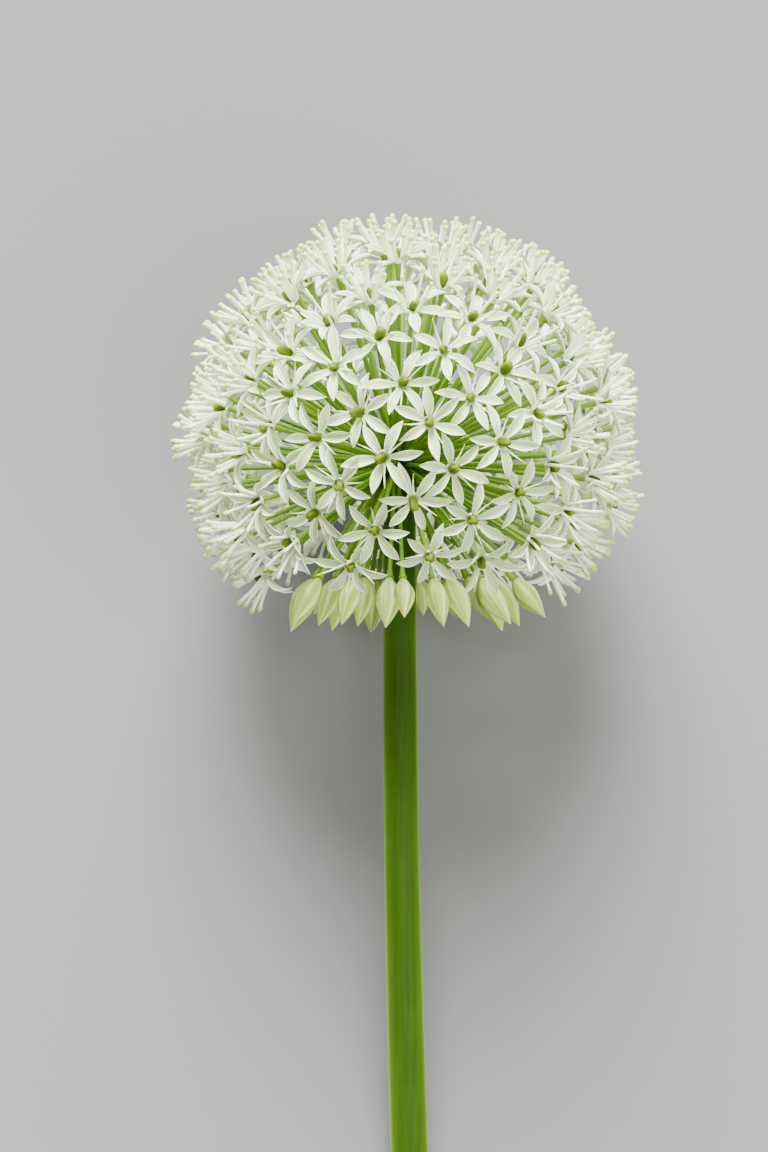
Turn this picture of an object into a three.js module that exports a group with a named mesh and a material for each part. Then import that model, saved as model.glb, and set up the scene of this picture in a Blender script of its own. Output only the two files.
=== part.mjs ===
// A white allium flower head on its cut stem, lying down on a flat surface.
// Millimetres, +Z up. The surface is z = 0, the ball of florets points along +Y
// and the stem runs down to its cut end along -Y. The origin is on the surface,
// under the middle of the whole length.

import * as THREE from "three";

// Driving dimensions, in millimetres and degrees.
const HEAD_HEIGHT = 60.8; // surface to the middle of the ball of florets
const STEM_REACH = 215; // middle of the ball to the cut end, along the stem
const MIDDLE_Y = 71.9; // middle of the ball from the origin, along Y

const SHELL_RADIUS = 54.5; // middle of the ball to the open florets, on average
const SHELLS = 6; // neighbouring florets open at different depths
const SHELL_STEP = 1; // from one depth to the next

const OPEN_COUNT = 152;
const OPEN_LOWEST = 130.5; // the lowest open florets, from the top of the ball
const OPEN_SCATTER = 2;
const OPEN_CLOSEST = 13.8; // least distance between two florets
const SPREADING_PASSES = 60;
const BUD_COUNT = 24;
const BUD_HIGHEST = 141.5; // the buds hang in a ring round the stem
const BUD_LOWEST = 158.5;
const BUD_HIGHEST_RADIUS = 48; // middle of the ball to the foot of a bud
const BUD_LOWEST_RADIUS = 40;
const SEED = 133; // of the scatter and of each bloom's own turn
const TURN = 192; // of the whole pattern round the stem

const ROWS = 8; // florets grow in eight spiral rows
const CYME = 4; // and branch in fours along a row

const TEPALS = 6;
const TEPAL_REACH = 11.3; // middle of a floret to the tip of a tepal
const TEPAL_HALF_WIDTH = 2.4;
const TEPAL_WIDEST = 5.1; // distance of the widest place from the middle
const TEPAL_NOTCH = 2; // distance of the gap between two tepals
const TEPAL_THICKNESS = 0.6;
const OVARY_RADIUS = 1.6;
const OVARY_SHOULDER = 0.9;
const OVARY_FOOT = 0.2;
const OVARY_SHOULDER_HEIGHT = 1.4;
const OVARY_HEIGHT = 2.3;
const STAMEN_HEIGHT = 9.4;
const STAMEN_SPREAD = 3.5; // distance of the stamen tips from the floret's middle

const PEDICEL_RADIUS = 0.7; // of the three-sided stalks, at the top
const PEDICEL_DEPTH = 0.8; // where a stalk ends under its floret

const BUD_LENGTH = 15;
const BUD_RADIUS = 3.3;
const BUD_SIDES = 6;
const BUD_PROFILE = [
  // part of the length, part of the radius
  [0.18, 0.78],
  [0.45, 1],
  [0.78, 0.55],
];

const RECEPTACLE_RADIUS = 6;
const RECEPTACLE_DROP = 7.4; // below the middle of the ball
const RECEPTACLE_SIDE = -2.8; // to the left of it
const SEAT_GAP = 0.3; // receptacle to the foot of a cyme
const FOOT_WEDGE = 0.6; // depth of a foot
const FOOT_SIDE = 0.95; // side of a stalk's triangle at its foot
const FOOT_SQUEEZE = 0.75; // feet sit this much nearer the top than their florets
const RECEPTACLE_NECK = 8; // its middle to where it has narrowed to the stem
const RECEPTACLE_ANGLES = [150, 125, 100, 75, 50, 25, 0]; // of its rings, from the top

const STEM_SIDES = 16;
const STEM_RINGS = 8;
const STEM_TOP_RADIUS = 4.55;
const STEM_END_RADIUS = 5.45;
const STEM_BEND = 3.4; // sideways swing of the cut end
const STEM_BEND_FROM = 40; // starting this far below the middle of the ball

const GREEN_STEM = { color: 0x567212, roughness: 0.55 };
const WHITE_FLORET = { color: 0xe4e8d8, roughness: 0.6 };
const CREAM_BUD = { color: 0xb9c488, roughness: 0.6 };

// Directions of the lying flower, whose cut end also touches the surface: along
// its axis to the top of the ball, to the right, and up away from the surface.
const tilt =
  Math.asin(HEAD_HEIGHT / Math.hypot(STEM_REACH, STEM_END_RADIUS)) -
  Math.atan(STEM_END_RADIUS / STEM_REACH);
const AXIS = new THREE.Vector3(0, Math.cos(tilt), Math.sin(tilt));
const RIGHT = new THREE.Vector3(1, 0, 0);
const FRONT = new THREE.Vector3(0, -Math.sin(tilt), Math.cos(tilt));
const MIDDLE = new THREE.Vector3(0, MIDDLE_Y, HEAD_HEIGHT);
const FOOT = MIDDLE.clone()
  .addScaledVector(AXIS, -RECEPTACLE_DROP)
  .addScaledVector(RIGHT, RECEPTACLE_SIDE);

const radians = THREE.MathUtils.degToRad;
const GOLDEN = Math.PI * (3 - Math.sqrt(5));

// A repeatable random number from 0 to 1 for the k-th draw of bloom i: the
// fraction of a sine that is blown up far past its own size.
const NOISE = { perBloom: 12.9898, perDraw: 78.233, blowUp: 43758.5453 };
function noise(i, k) {
  const v = Math.sin(i * NOISE.perBloom + k * NOISE.perDraw + SEED) * NOISE.blowUp;
  return v - Math.floor(v);
}

// A unit direction from x to the right, y away from the front, z to the top.
function direction(x, y, z) {
  return new THREE.Vector3()
    .addScaledVector(RIGHT, x)
    .addScaledVector(FRONT, -y)
    .addScaledVector(AXIS, z)
    .normalize();
}

// The n-th of count places on a golden-angle spiral between two angles from the top.
function spiral(n, count, highest, lowest, first) {
  const top = Math.cos(radians(highest));
  const z = top - ((n + 0.5) * (top - Math.cos(radians(lowest)))) / count;
  const across = Math.sqrt(1 - z * z);
  const angle = GOLDEN * (n + first);
  return new THREE.Vector3(Math.cos(angle) * across, Math.sin(angle) * across, z);
}

// Open florets: the spiral, scattered a little and then pushed apart again.
function openPlaces() {
  const floor = SHELL_RADIUS * Math.cos(radians(OPEN_LOWEST));
  const places = [];
  for (let i = 0; i < OPEN_COUNT; i++) {
    const p = spiral(i, OPEN_COUNT, 0, OPEN_LOWEST, 0).multiplyScalar(SHELL_RADIUS);
    p.x += (noise(i, 0) * 2 - 1) * OPEN_SCATTER;
    p.y += (noise(i, 1) * 2 - 1) * OPEN_SCATTER;
    p.z += (noise(i, 2) * 2 - 1) * OPEN_SCATTER;
    places.push(p.setLength(SHELL_RADIUS));
  }
  for (let pass = 0; pass < SPREADING_PASSES; pass++) {
    const moves = places.map((p) => {
      const move = new THREE.Vector3();
      for (const q of places) {
        const d = p.distanceTo(q);
        if (q !== p && d < OPEN_CLOSEST)
          move.addScaledVector(p.clone().sub(q), (OPEN_CLOSEST - d) / (2 * d));
      }
      return move;
    });
    places.forEach((p, i) => {
      p.add(moves[i]).setLength(SHELL_RADIUS);
      if (p.z < floor) {
        const across = Math.sqrt(SHELL_RADIUS ** 2 - floor ** 2) / Math.hypot(p.x, p.y);
        p.set(p.x * across, p.y * across, floor);
      }
    });
  }
  return places;
}

// A bloom's own frame on the ball: out from the middle, and two ways along it.
function bloomFrame(i, place, radius) {
  const turned = place.clone().applyAxisAngle(new THREE.Vector3(0, 0, 1), radians(TURN));
  const out = direction(turned.x, turned.y, turned.z);
  const side = new THREE.Vector3().crossVectors(AXIS, out).normalize();
  const up = new THREE.Vector3().crossVectors(out, side);
  const spin = noise(i, 3) * Math.PI * 2;
  return { turned, out, side, up, spin, radius };
}

// The point at a distance and an angle round a bloom's middle, along the ball,
// and at a height out from it. Nothing goes below the surface that it lies on.
function pointOn(bloom, distance, angle, height) {
  const a = angle + bloom.spin;
  const bow = distance / bloom.radius;
  const p = bloom.out
    .clone()
    .multiplyScalar(Math.cos(bow))
    .addScaledVector(bloom.side, Math.cos(a) * Math.sin(bow))
    .addScaledVector(bloom.up, Math.sin(a) * Math.sin(bow))
    .multiplyScalar(bloom.radius + height)
    .add(MIDDLE);
  p.z = Math.max(p.z, 0);
  return p;
}

// Three corners round the top of a stalk that runs along a direction.
function corners(shape, point, along, start) {
  const a = start.clone().addScaledVector(along, -start.dot(along)).normalize();
  const b = new THREE.Vector3().crossVectors(along, a);
  return [0, 1, 2].map((k) => {
    const t = (k * Math.PI * 2) / 3;
    return shape.add(
      point
        .clone()
        .addScaledVector(a, PEDICEL_RADIUS * Math.cos(t))
        .addScaledVector(b, PEDICEL_RADIUS * Math.sin(t)),
    );
  });
}

// The three sides of a stalk between its foot and its top, turned to twist least.
function stalk(shape, foot, top) {
  const twist = (shift) =>
    top.reduce((sum, t, k) => sum + shape.points[t].distanceTo(shape.points[foot[(k + shift) % 3]]), 0);
  const shift = [0, 1, 2].reduce((best, k) => (twist(k) < twist(best) ? k : best));
  for (let k = 0; k < 3; k++) {
    const n = (k + 1) % 3;
    const [low, next] = [foot[(k + shift) % 3], foot[(n + shift) % 3]];
    shape.face([low, next, top[n]], [low, top[n], top[k]]);
  }
}

// An open floret on its stalk: six tepals in one star, an ovary with a pointed
// top, and six stamens that rise from its sides.
function floret(shape, bloom, foot, from) {
  const at = (distance, angle, height) => shape.add(pointOn(bloom, distance, angle, height));
  const step = (Math.PI * 2) / TEPALS;
  const lean = Math.atan(TEPAL_HALF_WIDTH / TEPAL_WIDEST);
  const shoulder = Math.hypot(TEPAL_HALF_WIDTH, TEPAL_WIDEST);
  const ring = (distance, angle, height) =>
    Array.from({ length: TEPALS }, (_, i) => at(distance, i * step + angle, height));
  const notch = ring(TEPAL_NOTCH, -step / 2, 0);
  const left = ring(shoulder, -lean, 0);
  const right = ring(shoulder, lean, 0);
  const tip = ring(TEPAL_REACH, 0, 0);
  const rib = ring(TEPAL_WIDEST, 0, TEPAL_THICKNESS);
  const base = ring(OVARY_RADIUS, 0, OVARY_FOOT);
  const top = ring(OVARY_SHOULDER, 0, OVARY_SHOULDER_HEIGHT);
  const stamen = ring(STAMEN_SPREAD, step / 2, STAMEN_HEIGHT);
  const apex = at(0, 0, OVARY_HEIGHT);
  for (let i = 0; i < TEPALS; i++) {
    const j = (i + 1) % TEPALS;
    shape.face(
      [base[i], notch[i], left[i]],
      [base[i], left[i], rib[i]],
      [rib[i], left[i], tip[i]],
      [rib[i], tip[i], right[i]],
      [base[i], rib[i], right[i]],
      [base[i], right[i], notch[j]],
      [base[i], notch[j], base[j]],
      [base[i], base[j], top[j]],
      [top[i], top[j], apex],
      [base[i], top[j], stamen[i]],
      [top[j], top[i], stamen[i]],
      [top[i], base[i], stamen[i]],
      [left[i], right[i], tip[i]],
    );
  }
  // the underside, from the stalk's three corners out to the tepals
  const end = pointOn(bloom, 0, 0, -PEDICEL_DEPTH);
  const along = end.clone().sub(from).normalize();
  const ends = corners(shape, end, along, shape.points[tip[0]].clone().sub(end));
  for (let k = 0; k < 3; k++) {
    const [here, next] = [ends[k], ends[(k + 1) % 3]];
    const [i, j, after] = [2 * k, 2 * k + 1, (2 * k + 2) % TEPALS];
    shape.face(
      [right[i], left[i], here],
      [notch[j], right[i], here],
      [next, notch[j], here],
      [left[j], notch[j], next],
      [right[j], left[j], next],
      [notch[after], right[j], next],
      [left[after], notch[after], next],
    );
  }
  stalk(shape, foot, ends);
}

// An unopened bud on its stalk: a folded spindle.
function bud(shape, bloom, foot, from) {
  const base = pointOn(bloom, 0, 0, 0);
  const along = base.clone().sub(from).normalize();
  const ends = corners(shape, base, along, bloom.side);
  const a = bloom.side.clone().addScaledVector(along, -bloom.side.dot(along)).normalize();
  const b = new THREE.Vector3().crossVectors(along, a);
  const rings = BUD_PROFILE.map(([distance, radius]) =>
    Array.from({ length: BUD_SIDES }, (_, k) => {
      const t = (k * Math.PI * 2) / BUD_SIDES;
      return shape.add(
        base
          .clone()
          .addScaledVector(along, distance * BUD_LENGTH)
          .addScaledVector(a, radius * BUD_RADIUS * Math.cos(t))
          .addScaledVector(b, radius * BUD_RADIUS * Math.sin(t)),
      );
    }),
  );
  const tip = shape.add(base.clone().addScaledVector(along, BUD_LENGTH));
  for (let k = 0; k < 3; k++) {
    const [here, next] = [ends[k], ends[(k + 1) % 3]];
    const [i, j, after] = [2 * k, 2 * k + 1, (2 * k + 2) % BUD_SIDES];
    shape.face(
      [here, rings[0][j], rings[0][i]],
      [here, next, rings[0][j]],
      [next, rings[0][after], rings[0][j]],
    );
  }
  const last = rings[rings.length - 1];
  for (let k = 0; k < BUD_SIDES; k++) {
    const n = (k + 1) % BUD_SIDES;
    for (let r = 1; r < rings.length; r++)
      shape.face(
        [rings[r - 1][k], rings[r - 1][n], rings[r][n]],
        [rings[r - 1][k], rings[r][n], rings[r][k]],
      );
    shape.face([last[k], last[n], tip]);
  }
  stalk(shape, foot, ends);
}

// The direction from the receptacle to the foot of a cyme with this middle bloom.
function footDirection({ turned: { x, y, z } }) {
  const angle = Math.atan2(Math.hypot(x, y), z) * FOOT_SQUEEZE;
  const round = Math.atan2(y, x);
  return direction(
    Math.cos(round) * Math.sin(angle),
    Math.sin(round) * Math.sin(angle),
    Math.cos(angle),
  );
}

// Three or four blooms whose stalks stand side by side on one wedge-shaped foot.
function cyme(branch, grow) {
  const points = [];
  const triangles = [];
  const shape = {
    points,
    add: (p) => points.push(p) - 1,
    face: (...faces) => triangles.push(...faces),
  };
  const out = footDirection(branch[branch.length >> 1]);
  const seat = FOOT.clone().addScaledVector(out, RECEPTACLE_RADIUS + SEAT_GAP);
  const from = seat.clone().addScaledVector(out, FOOT_WEDGE);
  const row = branch[branch.length - 1].out.clone().sub(branch[0].out);
  row.addScaledVector(out, -row.dot(out)).normalize();
  const across = new THREE.Vector3().crossVectors(out, row);
  const zigzag = Array.from({ length: branch.length + 2 }, (_, k) =>
    shape.add(
      from
        .clone()
        .addScaledVector(row, ((k - (branch.length + 1) / 2) * FOOT_SIDE) / 2)
        .addScaledVector(across, (k % 2 ? 1 : -1) * FOOT_SIDE * Math.sqrt(3 / 16)),
    ),
  );
  const feet = branch.map((bloom, k) =>
    k % 2 ? [zigzag[k], zigzag[k + 1], zigzag[k + 2]] : [zigzag[k], zigzag[k + 2], zigzag[k + 1]],
  );
  const point = shape.add(seat);
  const edges = feet.flatMap(([a, b, c]) => [[a, b], [b, c], [c, a]]);
  for (const [a, b] of edges)
    if (!edges.some(([c, d]) => c === b && d === a)) shape.face([b, a, point]);
  branch.forEach((bloom, k) => grow(shape, bloom, feet[k], from));
  const geometry = new THREE.BufferGeometry().setFromPoints(points);
  return geometry.setIndex(triangles.flat());
}

// The blooms of each spiral row, a few at a time.
function cymes(blooms, grow) {
  const rows = Array.from({ length: ROWS }, (_, row) => blooms.filter((bloom, i) => i % ROWS === row));
  return rows.flatMap((row) =>
    Array.from({ length: Math.ceil(row.length / CYME) }, (_, k) =>
      cyme(row.slice(k * CYME, (k + 1) * CYME), grow),
    ),
  );
}

function named(name, geometry, look) {
  const mesh = new THREE.Mesh(geometry, new THREE.MeshStandardMaterial({ ...look, metalness: 0 }));
  mesh.name = name;
  return mesh;
}

// The leafless stem, swollen at the top into the receptacle that carries the cymes.
function scape() {
  const end = RECEPTACLE_DROP - STEM_REACH;
  const outline = [[0, end], [STEM_END_RADIUS, end]];
  for (let k = 1; k < STEM_RINGS; k++) {
    const t = k / STEM_RINGS;
    outline.push([
      THREE.MathUtils.lerp(STEM_END_RADIUS, STEM_TOP_RADIUS, t),
      THREE.MathUtils.lerp(end, -RECEPTACLE_NECK, t),
    ]);
  }
  outline.push([STEM_TOP_RADIUS, -RECEPTACLE_NECK]);
  for (const angle of RECEPTACLE_ANGLES)
    outline.push([
      RECEPTACLE_RADIUS * Math.sin(radians(angle)),
      RECEPTACLE_RADIUS * Math.cos(radians(angle)),
    ]);
  const geometry = new THREE.LatheGeometry(outline.map(([r, y]) => new THREE.Vector2(r, y)), STEM_SIDES);
  const position = geometry.attributes.position;
  for (let i = 0; i < position.count; i++) {
    const along = position.getY(i);
    const below = Math.max(0, RECEPTACLE_DROP - along - STEM_BEND_FROM);
    const swing = STEM_BEND * (below / (STEM_REACH - STEM_BEND_FROM)) ** 2;
    const p = FOOT.clone()
      .addScaledVector(AXIS, along)
      .addScaledVector(RIGHT, swing + position.getX(i))
      .addScaledVector(FRONT, position.getZ(i));
    position.setXYZ(i, p.x, p.y, p.z);
  }
  return named("scape", geometry, GREEN_STEM);
}

const openBlooms = openPlaces().map((place, i) =>
  bloomFrame(i, place, SHELL_RADIUS + ((i % SHELLS) - (SHELLS - 1) / 2) * SHELL_STEP),
);
const budBlooms = Array.from({ length: BUD_COUNT }, (_, n) =>
  bloomFrame(
    OPEN_COUNT + n,
    spiral(n, BUD_COUNT, BUD_HIGHEST, BUD_LOWEST, OPEN_COUNT),
    THREE.MathUtils.lerp(BUD_HIGHEST_RADIUS, BUD_LOWEST_RADIUS, n / (BUD_COUNT - 1)),
  ),
);

const flower = new THREE.Group();
flower.add(scape());
cymes(openBlooms, floret).forEach((geometry, n) =>
  flower.add(named(`florets_${String(n + 1).padStart(2, "0")}`, geometry, WHITE_FLORET)),
);
cymes(budBlooms, bud).forEach((geometry, n) => flower.add(named(`buds_${n + 1}`, geometry, CREAM_BUD)));

export default flower;
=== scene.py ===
"""A white allium flower head on its cut stem, lying down.

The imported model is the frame. Each group of three or four blooms on the frame is
replaced by one with finely formed tepals, stamens, ovaries and stalks, and the
plain stem by a ribbed one with a cut end.
"""

import math

import bmesh
import bpy
from bpy.props import FloatProperty, FloatVectorProperty, PointerProperty
from mathutils import Matrix, Vector


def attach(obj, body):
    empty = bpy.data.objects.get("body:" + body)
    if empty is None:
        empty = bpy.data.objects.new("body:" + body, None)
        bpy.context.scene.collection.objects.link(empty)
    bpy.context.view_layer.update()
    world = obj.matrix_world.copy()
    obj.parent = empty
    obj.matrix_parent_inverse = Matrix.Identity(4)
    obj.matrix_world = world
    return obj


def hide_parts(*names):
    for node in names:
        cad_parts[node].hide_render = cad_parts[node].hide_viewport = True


bl_info = {
    "name": "Allium flower head",
    "version": (1, 0, 0),
    "blender": (4, 5, 0),
    "location": "3D View > Sidebar > Allium",
    "description": "Models the florets, buds and stem of an allium over its frame",
    "category": "Object",
}

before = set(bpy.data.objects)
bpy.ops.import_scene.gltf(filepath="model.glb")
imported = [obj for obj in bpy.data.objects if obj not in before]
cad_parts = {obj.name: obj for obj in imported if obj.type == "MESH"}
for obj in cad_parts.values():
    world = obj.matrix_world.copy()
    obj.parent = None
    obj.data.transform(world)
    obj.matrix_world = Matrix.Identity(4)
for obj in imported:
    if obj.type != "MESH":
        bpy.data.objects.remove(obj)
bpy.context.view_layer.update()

MM = 0.001

# How the flower lies and where its blooms stand, as on the frame.
HEAD_HEIGHT = 60.8 * MM
STEM_REACH = 215 * MM
MIDDLE_Y = 71.9 * MM
SHELL_RADIUS = 54.5 * MM
SHELLS = 6
SHELL_STEP = 1 * MM
OPEN_COUNT = 152
OPEN_LOWEST = math.radians(130.5)
OPEN_SCATTER = 2 * MM
OPEN_CLOSEST = 13.8 * MM
SPREADING_PASSES = 60
BUD_COUNT = 24
BUD_HIGHEST = math.radians(141.5)
BUD_LOWEST = math.radians(158.5)
BUD_HIGHEST_RADIUS = 48 * MM
BUD_LOWEST_RADIUS = 40 * MM
SEED = 133
NOISE_PER_NUMBER = 12.9898
NOISE_PER_DRAW = 78.233
NOISE_GAIN = 43758.5453
TURN = math.radians(192)
ROWS = 8
CYME = 4
RECEPTACLE_RADIUS = 6 * MM
RECEPTACLE_DROP = 7.4 * MM
RECEPTACLE_SIDE = -2.8 * MM
FOOT_SQUEEZE = 0.75
FOOT_SINK = 0.5 * MM
STEM_TOP_RADIUS = 4.55 * MM
STEM_END_RADIUS = 5.45 * MM
STEM_NECK = 8 * MM
STEM_BEND = 3.4 * MM
STEM_BEND_FROM = 40 * MM

TILT = math.asin(HEAD_HEIGHT / math.hypot(STEM_REACH, STEM_END_RADIUS))
TILT -= math.atan(STEM_END_RADIUS / STEM_REACH)
AXIS = Vector((0, math.cos(TILT), math.sin(TILT)))
RIGHT = Vector((1, 0, 0))
FRONT = Vector((0, -math.sin(TILT), math.cos(TILT)))
MIDDLE = Vector((0, MIDDLE_Y, HEAD_HEIGHT))
FOOT = MIDDLE - AXIS * RECEPTACLE_DROP + RIGHT * RECEPTACLE_SIDE
GOLDEN = math.pi * (3 - math.sqrt(5))

# A tepal's width along its length: (part of the length, part of the width).
TEPAL_OUTLINE = (
    (0, 0.28), (0.12, 0.44), (0.28, 0.72), (0.44, 0.95), (0.59, 1), (0.76, 0.77),
    (0.9, 0.39), (1, 0),
)
TEPALS = 6
TEPAL_COLUMNS = 4
TEPAL_THICKNESS = 0.28 * MM
TEPAL_CUP = 0.95 * MM
TEPAL_CUP_CURVE = 1.5
TEPAL_TURN = 4  # degrees from its sixth of the star
TEPAL_LEAN = 9  # degrees up or down
TEPAL_GROWTH = 0.09
TEPAL_BREADTH = 0.08
THROAT = 0.9 * MM  # middle of a floret to the foot of a tepal
THROAT_DEPTH = 0.5 * MM
WHORL_STEP = 0.22 * MM
WELD = 0.01 * MM  # vertices nearer than this become one
NEAR = 0.1 * MM  # places nearer than this count as the same
NEAR_ANGLE = 3  # and so do bearings, in degrees

# How a tepal runs: degrees of rise at its foot and of fall by its tip, degrees
# of twist, and part of its length that the tip swings aside.
TEPAL_RUNS = {
    "rising": ((37, 40, 14, 0.04), (30, 22, -18, -0.05), (44, 58, 8, 0.03), (48, 34, 24, -0.07)),
    "spread": ((20, 30, 16, 0.05), (26, 50, -12, -0.04), (14, 10, -20, 0.06), (32, 70, 24, -0.08)),
    "arched": ((14, 66, 15, -0.06), (20, 92, -14, 0.06), (8, 44, 9, 0.03), (16, 78, -24, 0.08)),
}
STARS_PER_KIND = 4

# Where florets change from one kind of star to the next: degrees from the top of
# the ball, and degrees from its open side, each with its own swing.
ARCHED_DROP = 112
ARCHED_ASIDE = 52
RISING_DROP = 50
RISING_ASIDE = 47
DROP_SWING = 12
ASIDE_SWING = 6
FLORET_GROWTH = 0.05
FLORET_SINK = 0.25 * MM  # how deep a stalk ends inside its floret

# A stamen's radii along its length: (part of the length, part of the anther's radius).
STAMEN_OUTLINE = (
    (0, 0), (0.02, 0.8), (0.22, 0.7), (0.52, 0.6), (0.81, 0.64), (0.9, 1), (0.97, 0.8),
    (1, 0),
)
SPIKE_OUTLINE = (
    (0, 0), (0.03, 1), (0.25, 0.72), (0.5, 0.55), (0.75, 0.42), (0.93, 0.28), (1, 0),
)
STAMEN_RING = 1.75 * MM  # middle of a floret to the foot of a stamen
STAMEN_TURN = 8  # degrees from its place in the ring
STAMEN_GROWTH = 0.1
STAMEN_BEND = 0.03
LEAST_COSINE = 0.8  # of their lean: stamens that lean further grow no longer
COLLAR_THICKNESS = 0.5 * MM
COLLAR_HEIGHT = 0.6 * MM
COLLAR_LOBE = 0.35 * MM

# Stamens by how far a floret stands from the middle of the open side, which faces
# the camera. Each line: degrees from that middle, part of the full length and width,
# pointed or not, and rings of stamens: how many, degrees of lean, degrees of scatter.
# The last line is for the florets that the ball rests on.
STAMEN_KINDS = (
    (35, 0.58, 0.38, True, ((3, 66, 9),)),
    (42, 0.74, 0.5, True, ((4, 38, 13),)),
    (59, 0.95, 0.72, False, ((6, 28, 7),)),
    (181, 1, 0.94, False, ((7, 28, 5), (4, 15, 4))),
    (0, 0.7, 0.94, False, ((7, 62, 6), (4, 48, 6))),
)
BUNDLES_PER_KIND = 3
OPEN_SIDE_DROP = math.radians(12)  # the middle of the open side, below the front
OPEN_SIDE_SWING = 4
UNDERSIDE = math.radians(27)  # florets this near to straight down rest on the floor

# The ovary: (part of the height, part of the radius).
OVARY_OUTLINE = (
    (-0.22, 0), (-0.12, 0.6), (0.16, 0.9), (0.46, 1), (0.76, 0.93), (0.94, 0.6), (1, 0),
)
OVARY_LOBES = 3
OVARY_GROOVE = 0.55
OVARY_LEAN = 24  # degrees
OVARY_SWAY = 14
OVARY_GROWTH = 0.14

# The thin stalk: (part of the length, part of the radius).
PEDICEL_OUTLINE = (
    (0, 0), (0.004, 1.05), (0.12, 1), (0.55, 0.92), (0.9, 1), (0.975, 1.45), (0.998, 2.1),
    (1, 0),
)

# A folded bud: (part of the length, part of the radius, depth of its folds).
BUD_OUTLINE = (
    (0, 0, 0), (0.03, 0.26, 0.04), (0.12, 0.54, 0.08), (0.26, 0.86, 0.12), (0.41, 1, 0.16),
    (0.57, 0.91, 0.21), (0.74, 0.62, 0.27), (0.88, 0.31, 0.24), (0.96, 0.12, 0.12),
    (1, 0, 0),
)
BUD_FOLDS = 6
BUD_TWISTS = (18, -14, 6)  # degrees, one for each model
BUD_BEND = 0.02
BUD_GROWTH = 0.11
BUD_NOD = 13  # degrees
BUD_OVERLAP = 0.3 * MM  # how far its stalk runs into a bud

# The swollen top of the stem: (distance along it from its middle, radius).
RECEPTACLE_OUTLINE = (
    (-6.4, 4.5), (-4.6, 4.9), (-2.4, 5.6), (0, 6), (2.3, 5.55), (4.2, 4.3), (5.5, 2.4),
    (6, 0.6),
)
STEM_SIDES = 40
STEM_RINGS = 36
STEM_EDGE = 50 * MM  # edges longer than this are divided
STEM_RIBS = 8
RIB_GROOVE = 0.985

# The cut end, ring by ring towards its middle: (step inwards along the stem, in mm,
# part of the last ring's width).
CUT_STEPS = ((0, 0.86), (0.35, 0.95), (-0.15, 0.3))
PITH_RADIUS = 4.9 * MM
PITH_DEPTH = 0.5 * MM

# What would hang under the floor is pressed flat between these heights.
PRESSED_TO = 0.2 * MM
PRESSED_FROM = 4.5 * MM

# Finishes that go with the colours a user can change.
PETAL_FOOT = (0.5, 0.6, 0.16)
PETAL_STREAK = (0.4, 0.53, 0.18)
PETAL_BACK_FACE = (0.67, 0.77, 0.42)
PETAL_BACK_STREAK = (0.5, 0.61, 0.26)
PETAL_BLUSH = (0.86, 0.79, 0.72)
# The bright colour of the painted highlight along each tepal's rim.
PETAL_RIM_HIGHLIGHT = (0.98, 1.0, 0.88)
FILAMENT = ((0.83, 0.9, 0.6), (0.94, 0.985, 0.73))
ROSY_ANTHER = (0.66, 0.48, 0.33)
# The yellow colour of the painted highlight at the top of each ovary.
OVARY_TOP_HIGHLIGHT = (0.165, 0.215, 0.0012)
STALK_TOP = (0.29, 0.42, 0.05)
# The pale colour of the painted highlight on the ridges of a bud.
BUD_RIDGE_HIGHLIGHT = (0.66, 0.77, 0.27)
BUD_FOOT = (0.2, 0.32, 0.03)
BUD_TIP = (0.78, 0.83, 0.48)
BUD_TINT = (0.58, 0.66, 0.28)
STEM_WAX = (0.05, 0.11, 0.006)
STEM_FLECK = (0.07, 0.14, 0.01)
STEM_SHEEN = (0.5, 0.95, 0.08, 1)
PITH = ((0.36, 0.46, 0.12), (0.52, 0.58, 0.26))
PITH_DOTS = (0.2, 0.3, 0.05)

FLOOR_SIZE = 24
# Each lamp: name, direction that it shines from, colour, degrees across, strength.
LAMPS = (
    ("key_light", (-0.08, 1, 1), (1, 1, 1), 30, 13.5),
    ("top_light", (-0.1, 1, 0.35), (0.93, 0.97, 1), 46, 13.8),
    ("fill_light", (0.45, -0.5, 1), (1, 1, 0.97), 55, 4.6),
)
SKY_COLOUR = (1, 0.99, 0.97)
SKY_STRENGTH = 0.32
CAMERA_DISTANCE = 1.15
CAMERA_LEFT = 7.2 * MM  # from the middle of the ball
CAMERA_DOWN = 37.2 * MM
CAMERA_SENSOR = 36
PICTURE_HEIGHT = 0.323


def length_setting(name, description, default, lowest, highest):
    """A length that a user can change. Its values are given in millimetres."""
    return FloatProperty(
        name=name,
        description=description,
        default=default * MM,
        min=lowest * MM,
        max=highest * MM,
        unit="LENGTH",
        subtype="DISTANCE",
    )


def colour_setting(name, description, default):
    """A colour that a user can change."""
    return FloatVectorProperty(
        name=name, description=description, default=default, min=0, max=1, subtype="COLOR"
    )


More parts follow.
